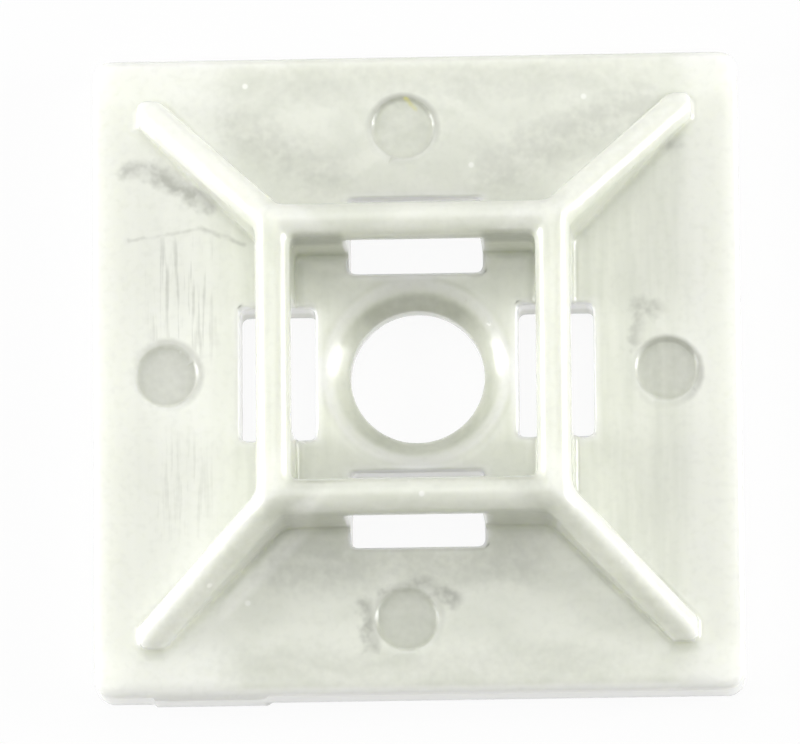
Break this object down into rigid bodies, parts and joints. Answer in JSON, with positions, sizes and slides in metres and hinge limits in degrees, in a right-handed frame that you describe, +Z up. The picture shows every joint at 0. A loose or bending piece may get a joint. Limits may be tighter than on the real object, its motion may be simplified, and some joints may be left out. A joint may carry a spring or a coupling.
{
  "type": "cable tie mount",
  "caption": "Square screw-on mount whose raised frame of rails bridges slots in its base, so that a cable tie threads through from any side.",
  "frame": {"origin": "centre of the screw hole at the underside of the base", "axes": "+Z up, away from the surface the base is screwed to; +X and +Y along the edges of the base; the trimmed gate stub is on the -Y edge, near -X"},
  "size_m": [0.028, 0.0281, 0.0067],
  "materials": {
    "nylon": "natural milky nylon as moulded, satin, with faint flow streaks and tool marks"
  },
  "bodies": {
    "root": {"tie_mount": "nylon"}
  },
  "joints": []
}
